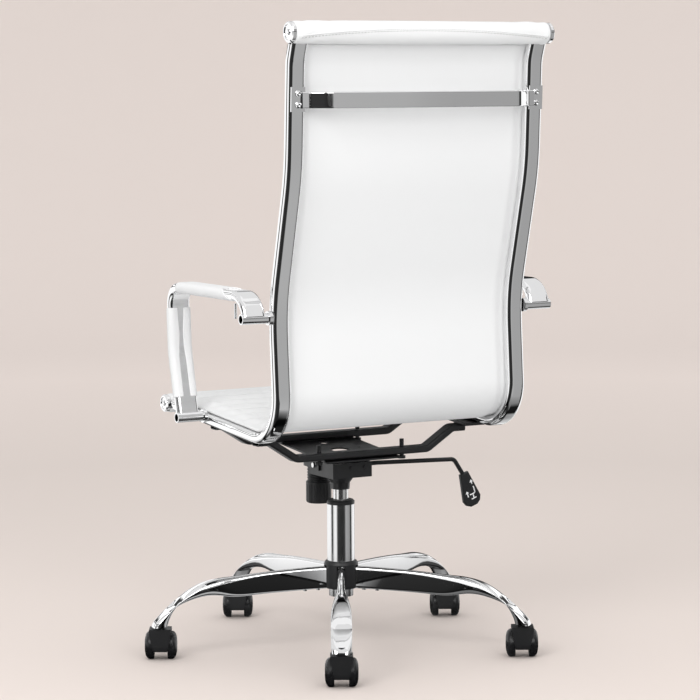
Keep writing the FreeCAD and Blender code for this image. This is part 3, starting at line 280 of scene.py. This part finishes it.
def make_brushed(name, tone):
    mat, shader = new_material(name, (tone, tone, tone), 1.0, 0.22)
    coord = add_node(mat, "ShaderNodeTexCoord")
    stretch = add_node(mat, "ShaderNodeMapping")
    stretch.inputs["Scale"].default_value = (30, 30, 1500)
    streak = add_node(mat, "ShaderNodeTexNoise", Scale=1.0, Detail=5.0)
    link(mat, coord.outputs["Object"], stretch.inputs["Vector"])
    link(mat, stretch.outputs["Vector"], streak.inputs["Vector"])
    bump_from(mat, shader, streak.outputs["Fac"], 0.08, 0.0002)
    return mat


CHROME = make_chrome("chrome")
CHROME_BASE = make_chrome("chrome_base", 0.84, 0.03)
CHROME_LIFT = make_chrome("chrome_lift", 0.78, 0.15)
STEEL = make_brushed("steel", 0.78)
LEATHER = make_leather("leatherette", (0.86, 0.86, 0.86))
THREAD = new_material("thread", (0.55, 0.55, 0.54), 0, 0.7)[0]
PLASTIC = make_plastic("black_plastic", (0.012, 0.012, 0.013), 0.34, 0.5, 700, 0.25)
NYLON = make_plastic("wheel_nylon", (0.01, 0.01, 0.011), 0.22, 0.34, 400, 0.1)
POWDER = make_plastic("black_steel", (0.012, 0.012, 0.013), 0.3, 0.44, 520, 0.3)
PRINT = new_material("print_white", (0.9, 0.9, 0.9), 0, 0.5)[0]

SLOT_MATERIAL = {
    "chrome_tube": CHROME, "chrome_base": CHROME_BASE, "lift_steel": STEEL, "lift_chrome": CHROME_LIFT,
    "screw_steel": CHROME, "black_plastic": PLASTIC, "wheel_nylon": NYLON, "black_steel": POWDER,
    "lever_grip": PLASTIC, "leatherette": LEATHER, "zip_metal": CHROME,
}
for part in frame["record"]["subparts"]:
    node = frame["nodes"][part["node"]]
    node.data.materials.clear()
    node.data.materials.append(SLOT_MATERIAL[part["material_slot"]])
    for poly in node.data.polygons:
        poly.material_index = 0


# ---------------------------------------------------------------- sling
def sling_section(tone, edge_fall):
    """Across points of one closed section: (x, depth behind the rail centre line), back then face."""
    xs = np.linspace(-SLING_HALF + 0.004, SLING_HALF - 0.004, 86)
    belly = np.clip((0.2145 - np.abs(xs)) / 0.014, 0, 1)
    back = np.stack([xs, -(SLING_BACK - 0.0035 * belly * belly * (3 - 2 * belly))], 1)
    rise = np.clip((SLING_HALF - 0.006 - np.abs(xs)) / edge_fall, 0, 1)
    rise = rise * rise * (3 - 2 * rise)
    face = np.stack([xs, -(SLING_FACE + tone * rise)], 1)
    right = [(SLING_HALF - 0.001, -SLING_BACK - 0.001), (SLING_HALF, -0.5 * (SLING_BACK + SLING_FACE)),
             (SLING_HALF - 0.001, -SLING_FACE + 0.001)]
    left = [(-x, d) for x, d in reversed(right)]
    return np.concatenate([back, right, face[::-1], left])


def build_sling():
    at, pts, dirs = rounded_path(RAIL_PATH, RAIL_BENDS, CHANNEL / 8)
    keep = (at > 0.0160) & (at < at[-1] - 0.0182)
    at, pts, dirs = at[keep], pts[keep], dirs[keep]
    normal = np.stack([-dirs[:, 1], dirs[:, 0]], 1)
    phase = (np.arange(len(at)) % 8) / 8
    grid = []
    for row in range(len(at)):
        tone = 0.0068 * math.sin(math.pi * phase[row]) ** 0.65 if phase[row] else 0.0
        section = sling_section(tone, 0.02)
        grid.append([(x, pts[row][0] - normal[row][0] * d, pts[row][1] - normal[row][1] * d)
                     for x, d in section])
    grid = np.array(grid)
    obj = grid_object("sling_leather", grid, wrap_v=True, caps=True)
    count = grid.shape[1]
    pin = np.zeros((len(at), count))
    pin[:, :87] = 1.0
    pin[:, -6:] = 1.0
    pin[:, 84:94] = 1.0
    pin[phase == 0, :] = 1.0
    pin[:3, :] = 1.0
    pin[-3:, :] = 1.0
    relax(obj, pin.reshape(-1), 3.0, 0.0015, -0.012)
    add_subsurf(obj)
    obj.data.materials.append(LEATHER)
    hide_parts("sling_pad")
    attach(obj, "seat")
    starts = []
    ends = []
    for row in np.where(phase == 0)[0][1:-1]:
        base = pts[row] - normal[row] * -(SLING_FACE + 0.0003)
        for x in np.arange(-0.196, 0.196, THREAD_PITCH):
            starts.append((x, base[0], base[1]))
            ends.append((x + 0.004, base[0], base[1]))
    threads = capsules("sling_stitches", starts, ends, 0.00045, THREAD, 5)
    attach(threads, "seat")
    return obj


# ---------------------------------------------------------------- rolls
def build_roll(name, spot, node, arch):
    y0, z0, rad = spot
    inner = np.linspace(-ROLL_HALF + 0.0015, ROLL_HALF - 0.0015, 100)
    xs = np.concatenate([[-ROLL_HALF], inner, [ROLL_HALF]])
    around = 48
    grid = []
    for x in xs:
        edge = min(1.0, (ROLL_HALF - abs(x)) / 0.004)
        ring = []
        for k in range(around):
            angle = 2 * math.pi * k / around
            pucker = 0.0004 * math.sin(5 * angle + 40 * x) * math.exp(-(((abs(x) - RAIL_X) / 0.02) ** 2))
            r = rad - 0.0022 * (1 - edge) + pucker - 0.0004
            ring.append((x, y0 + r * math.cos(angle), z0 + r * math.sin(angle)))
        grid.append(ring)
    obj = grid_object(name, np.array(grid), wrap_v=True, caps=True)
    pin = np.zeros((len(xs), around))
    pin[:3] = 1
    pin[-3:] = 1
    relax(obj, pin.reshape(-1), 3.0, 0.0008, -0.02)
    obj.data.materials.append(LEATHER)
    add_subsurf(obj)
    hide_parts(node)
    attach(obj, "seat")
    if arch:
        arch_seam(y0, z0, rad)
    return obj


def arch_seam(y0, z0, rad):
    """The curved seam and its stitches on the rear of the head roll."""
    def spot(x, lift, out):
        high = 0.0062 - 0.0135 * (x / 0.25) ** 2 + lift
        angle = math.asin(max(-1, min(1, high / rad)))
        return (x, y0 + (rad + out) * math.cos(angle), z0 + (rad + out) * math.sin(angle))
    xs = np.arange(-0.243, 0.243, 0.004)
    line = [spot(x, 0, -0.0003) for x in xs]
    cord = capsules("head_seam", line[:-1], line[1:], 0.0012, LEATHER, 6)
    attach(cord, "seat")
    xs = np.arange(-0.24, 0.24, THREAD_PITCH)
    dots = capsules("head_stitches", [spot(x, -0.0032, 0.0001) for x in xs],
                    [spot(x + 0.0036, -0.0036, 0.0001) for x in xs], 0.0007, THREAD, 5)
    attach(dots, "seat")


# ---------------------------------------------------------------- arm sleeves
def rounded_ring(wide, thick, corner):
    """Points round a rounded rectangle, with their running length so that ring_at can space them evenly,
    from the middle of the side that faces +v, turning towards +u."""
    fine = []
    for cx, cy, a0 in ((1, 1, 90), (1, -1, 0), (-1, -1, -90), (-1, 1, -180)):
        for k in range(17):
            a = math.radians(a0 - 90 * k / 16)
            fine.append((cx * (wide / 2 - corner) + corner * math.cos(a),
                         cy * (thick / 2 - corner) + corner * math.sin(a)))
    fine = np.array([(0, thick / 2)] + fine + [(0, thick / 2)])
    run = np.concatenate([[0], np.cumsum(np.linalg.norm(np.diff(fine, axis=0), axis=1))])
    return fine, run


def ring_at(fine, run, share):
    at = np.asarray(share) * run[-1]
    return np.array([np.interp(at, run, fine[:, k]) for k in range(2)])


def build_sleeve(name, node, side, corners, radii, slit, start_of, end_of):
    """A leather sleeve swept along a side path. slit(s) is the half gap as a share of the girth,
    centred on the ring's start; start_of and end_of give each girth share its own ends."""
    at, pts, dirs = rounded_path(corners, radii, 0.001)
    fine, run = rounded_ring(*SLEEVE)
    around = 56
    rows = 60
    girth = np.linspace(0, 1, around)
    grid = np.zeros((rows, around, 3))
    total = at[-1]
    for row in range(rows):
        t = row / (rows - 1)
        for col, share in enumerate(girth):
            first, last = start_of(share), end_of(share)
            s = first + t * (last - first)
            place = np.array([np.interp(s, at, pts[:, k]) for k in range(2)])
            line = np.array([np.interp(s, at, dirs[:, k]) for k in range(2)])
            gap = slit(s / total)
            ring = ring_at(fine, run, gap + share * (1 - 2 * gap))
            near = min(share, 1 - share) * run[-1]
            tuck = 1 - 0.10 * math.exp(-((near / 0.0035) ** 2)) if gap > 0 else 1
            ripple = 1 + 0.012 * math.sin(s * 150 + 9 * share) * math.sin(s * 61 + 4) * 0.6
            across, up = ring * tuck * ripple
            normal = np.array([-line[1], line[0]])
            spot = place + normal * up
            grid[row, col] = (side * (ARM_X + across), spot[0], spot[1])
    obj = grid_object(name, grid)
    shell = obj.modifiers.new("leather", "SOLIDIFY")
    shell.thickness = 0.0024
    shell.offset = -1
    add_subsurf(obj)
    obj.data.materials.append(LEATHER)
    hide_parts(node)
    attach(obj, "seat")
    return obj


def build_sleeves():
    for tag, side in (("left", 1), ("right", -1)):
        upright = [(-0.0749, 0.631), (-0.071, 0.555), (-0.0509, 0.473)]
        build_sleeve("front_sleeve_" + tag, "arm_front_sleeve_" + tag, side, upright, [0.2],
                     lambda s: 0.052 - 0.024 * math.sin(math.pi * min(1, s / 0.62)) ** 2 + 0.012 * s,
                     lambda share: 0.0, lambda share: 0.1605)
        top = [(-0.042, ARM_TOP_Z), (0.2032, ARM_TOP_Z), (0.2171, 0.6339)]
        build_sleeve("top_sleeve_" + tag, "arm_top_sleeve_" + tag, side, top, [0.0449],
                     lambda s: 0.0,
                     lambda share: 0.0,
                     lambda share: 0.167 + 0.0275 * (1 - math.cos(2 * math.pi * share)))


# ---------------------------------------------------------------- paddle print
def build_print():
    """A small seat-and-arrows pictogram, raised a hair from the lever paddle."""
    lean = math.radians(20)
    top = Vector((-0.2495, 0.020, 0.305))
    shapes = [
        [(-9, -30), (-7, -30), (-7, -44), (-9, -44)], [(-9, -42), (3, -42), (3, -44), (-9, -44)],
        [(-4, -44), (-2, -44), (-2, -51), (-4, -51)], [(-8, -51), (2, -51), (2, -53), (-8, -53)],
        [(7, -34), (10.5, -39), (8, -39), (8, -46), (6, -46), (6, -39), (3.5, -39)],
        [(-7, -16), (-3.5, -21), (-6, -21), (-6, -25), (-8, -25), (-8, -21), (-10.5, -21)],
    ]
    verts = []
    faces = []
    for outline in shapes:
        base = len(verts)
        for depth in (0.0046, 0.0047):
            for x, z in outline:
                u, w = x * 0.001 * 1.1, z * 0.001
                verts.append((top.x + u * math.cos(lean) + w * math.sin(lean), top.y + depth,
                              top.z - u * math.sin(lean) + w * math.cos(lean)))
        n = len(outline)
        faces.append(tuple(base + k for k in range(n)))
        faces.append(tuple(base + n + k for k in reversed(range(n))))
        for k in range(n):
            m = (k + 1) % n
            faces.append((base + k, base + m, base + n + m, base + n + k))
    obj = mesh_object("paddle_print", verts, faces, False)
    obj.data.materials.append(PRINT)
    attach(obj, "lever")


# ---------------------------------------------------------------- studio
def set_ramp(node, stops):
    """Fill a colour ramp with grey stops, each a place and a tone."""
    ramp = node.color_ramp
    while len(ramp.elements) > 1:
        ramp.elements.remove(ramp.elements[-1])
    for number, (place, tone) in enumerate(stops):
        stop = ramp.elements[0] if number == 0 else ramp.elements.new(place)
        stop.position = place
        stop.color = (tone, tone, tone, 1)


def studio_material():
    """Pale to the eye, with painted shade: the floor darker near the middle and paler out to the wall; soft
    bounce light sees plain grey.
    Painted reflections: the floor and wall glow to glossy rays only, so polished metal sees light panels
    and dark gaps, in bands round the wall, tiers up it and rings on the floor."""
    mat = bpy.data.materials.new("studio")
    mat.use_nodes = True
    tree = mat.node_tree
    tree.nodes.clear()
    out = tree.nodes.new("ShaderNodeOutputMaterial")
    coat = tree.nodes.new("ShaderNodeBsdfDiffuse")
    painted_reflection_glow = tree.nodes.new("ShaderNodeEmission")
    coord = tree.nodes.new("ShaderNodeTexCoord")
    split = tree.nodes.new("ShaderNodeSeparateXYZ")
    tree.links.new(coord.outputs["Object"], split.inputs["Vector"])
    turn = tree.nodes.new("ShaderNodeMath")
    turn.operation = "ARCTAN2"
    tree.links.new(split.outputs["Y"], turn.inputs[0])
    tree.links.new(split.outputs["X"], turn.inputs[1])
    share = tree.nodes.new("ShaderNodeMapRange")
    share.inputs["From Min"].default_value = -math.pi
    share.inputs["From Max"].default_value = math.pi
    tree.links.new(turn.outputs[0], share.inputs["Value"])
    bands = tree.nodes.new("ShaderNodeValToRGB")
    bands.color_ramp.interpolation = "LINEAR"
    # Painted reflection: light panels and dark gaps round the wall, seen by glossy rays only.
    stops = [(0.0, 1.1), (0.10, 1.2), (0.12, 0.06), (0.16, 0.04), (0.18, 0.9), (0.26, 1.1), (0.28, 1.2),
             (0.42, 1.25), (0.44, 0.05), (0.48, 0.04), (0.50, 1.1), (0.57, 1.2), (0.59, 0.05), (0.70, 0.02),
             (0.73, 0.03), (0.765, 0.04), (0.785, 0.5), (0.83, 0.42), (0.89, 0.36),
             (0.905, 0.02), (0.945, 0.02), (0.96, 1.1), (1.0, 1.1)]
    set_ramp(bands, stops)
    tree.links.new(share.outputs["Result"], bands.inputs["Fac"])
    tree.links.new(bands.outputs["Color"], painted_reflection_glow.inputs["Color"])
    ray = tree.nodes.new("ShaderNodeLightPath")
    paint = tree.nodes.new("ShaderNodeMix")
    paint.data_type = "RGBA"
    paint.inputs[6].default_value = (0.66, 0.66, 0.66, 1)
    far = tree.nodes.new("ShaderNodeMapRange")
    far.inputs["From Min"].default_value = 2.5
    far.inputs["From Max"].default_value = 4.6
    # Painted shade: to the camera the floor is darker near the middle and paler out towards the wall.
    painted_shade_wash = tree.nodes.new("ShaderNodeMix")
    painted_shade_wash.data_type = "RGBA"
    painted_shade_wash.inputs[6].default_value = (0.83, 0.742, 0.694, 1)
    painted_shade_wash.inputs[7].default_value = (0.99, 0.88, 0.825, 1)
    tree.links.new(far.outputs["Result"], painted_shade_wash.inputs[0])
    tree.links.new(painted_shade_wash.outputs[2], paint.inputs[7])
    tree.links.new(ray.outputs["Is Camera Ray"], paint.inputs[0])
    tree.links.new(paint.outputs[2], coat.inputs["Color"])
    reach = tree.nodes.new("ShaderNodeVectorMath")
    reach.operation = "LENGTH"
    tree.links.new(coord.outputs["Object"], reach.inputs[0])
    tree.links.new(reach.outputs["Value"], far.inputs["Value"])
    shelf = tree.nodes.new("ShaderNodeMapRange")
    shelf.inputs["From Min"].default_value = 0.0
    shelf.inputs["From Max"].default_value = WALL_TOP
    tree.links.new(split.outputs["Z"], shelf.inputs["Value"])
    tiers = tree.nodes.new("ShaderNodeValToRGB")
    set_ramp(tiers, [(0.0, 1.0), (0.26, 1.0), (0.30, 0.06), (0.42, 0.05), (0.46, 1.2),
                     (0.64, 1.2), (0.67, 0.1), (0.8, 0.1), (0.84, 1.0)])
    tree.links.new(shelf.outputs["Result"], tiers.inputs["Fac"])
    round_floor = tree.nodes.new("ShaderNodeMapRange")
    round_floor.inputs["From Min"].default_value = 0.0
    round_floor.inputs["From Max"].default_value = 2.0
    tree.links.new(reach.outputs["Value"], round_floor.inputs["Value"])
    rings = tree.nodes.new("ShaderNodeValToRGB")
    set_ramp(rings, [(0.0, 0.5), (0.13, 0.42), (0.17, 0.06), (0.24, 0.06),
                     (0.28, 0.5), (0.36, 0.62), (0.5, 1.0)])
    tree.links.new(round_floor.outputs["Result"], rings.inputs["Fac"])
    both = tree.nodes.new("ShaderNodeMath")
    both.operation = "MULTIPLY"
    tree.links.new(tiers.outputs["Color"], both.inputs[0])
    tree.links.new(rings.outputs["Color"], both.inputs[1])
    tree.links.new(both.outputs[0], painted_reflection_glow.inputs["Strength"])
    # Painted reflection: glossy rays see the glowing bands instead of the plain floor and wall.
    mix = tree.nodes.new("ShaderNodeMixShader")
    tree.links.new(ray.outputs["Is Glossy Ray"], mix.inputs["Fac"])
    tree.links.new(coat.outputs[0], mix.inputs[1])
    tree.links.new(painted_reflection_glow.outputs[0], mix.inputs[2])
    tree.links.new(mix.outputs[0], out.inputs["Surface"])
    return mat


def build_studio():
    """A round floor that curves up into a wall."""
    mat = studio_material()
    profile = [(2.0, 0.0), (4.0, 0.0), (FLOOR_REACH, 0.0)]
    for k in range(1, 13):
        a = math.pi / 2 * k / 12
        profile.append((FLOOR_REACH + WALL_CURVE * math.sin(a), WALL_CURVE * (1 - math.cos(a))))
    profile.append((FLOOR_REACH + WALL_CURVE, WALL_TOP))
    grid = np.array([[(r * math.cos(2 * math.pi * k / 96), r * math.sin(2 * math.pi * k / 96), z)
                      for k in range(96)] for r, z in profile])
    floor = grid_object("floor", grid, wrap_v=True)
    disc = mesh_object("floor_disc", grid[0], [tuple(range(96))])
    for obj in (floor, disc):
        obj.data.materials.append(mat)


def add_area(name, place, aim, size, power, tone=(1, 1, 1)):
    data = bpy.data.lights.new(name, "AREA")
    data.shape = "RECTANGLE"
    data.size, data.size_y = size
    data.energy = power
    data.color = tone
    obj = bpy.data.objects.new(name, data)
    SCENE.collection.objects.link(obj)
    obj.location = place
    obj.rotation_euler = (Vector(aim) - Vector(place)).to_track_quat("-Z", "Y").to_euler()
    return obj


def build_lights():
    SCENE.view_settings.view_transform = "Standard"
    world = bpy.data.worlds.new("studio_air")
    world.use_nodes = True
    world.node_tree.nodes["Background"].inputs["Color"].default_value = (1, 1, 1, 1)
    world.node_tree.nodes["Background"].inputs["Strength"].default_value = 0.86
    SCENE.world = world
    add_area("key", (3.4, 2.2, 2.8), (0, 0, 0.6), (2.4, 2.4), 80)
    add_area("back_fill", (0.6, 4.6, 2.2), (0, 0, 1.1), (3.0, 2.4), 66)
    add_area("top", (-0.4, 0.6, 4.2), (0, 0, 0.3), (3.0, 3.0), 5)


def build_camera():
    """Long lens, behind the chair and to the sitter's left, a little below head height."""
    swing = math.radians(29.0)
    right = Vector((-math.cos(swing), math.sin(swing), 0))
    ahead = Vector((-math.sin(swing), -math.cos(swing), 0))
    yaw, pitch, roll = (math.radians(v) for v in (-0.2184, 5.6598, 0.3264))
    side = right * math.cos(yaw) + ahead * math.sin(yaw)
    level = ahead * math.cos(yaw) - right * math.sin(yaw)
    forward = level * math.cos(pitch) - Vector((0, 0, 1)) * math.sin(pitch)
    up = level * math.sin(pitch) + Vector((0, 0, 1)) * math.cos(pitch)
    image_x = side * math.cos(roll) - up * math.sin(roll)
    image_y = side * math.sin(roll) + up * math.cos(roll)
    data = bpy.data.cameras.new("camera")
    data.sensor_width = 36
    data.lens = 36 * 2704.6 / 700
    camera = bpy.data.objects.new("camera", data)
    SCENE.collection.objects.link(camera)
    turn = Matrix((image_x, image_y, -forward)).transposed().to_4x4()
    camera.matrix_world = Matrix.Translation(ahead * -4.868 + Vector((0, 0, 1.0283))) @ turn
    SCENE.camera = camera


build_sling()
build_roll("head_roll_leather", HEAD, "head_roll_cover", True)
build_roll("front_roll_leather", FRONT, "front_roll_cover", False)
build_sleeves()
build_print()
build_studio()
build_lights()
build_camera()
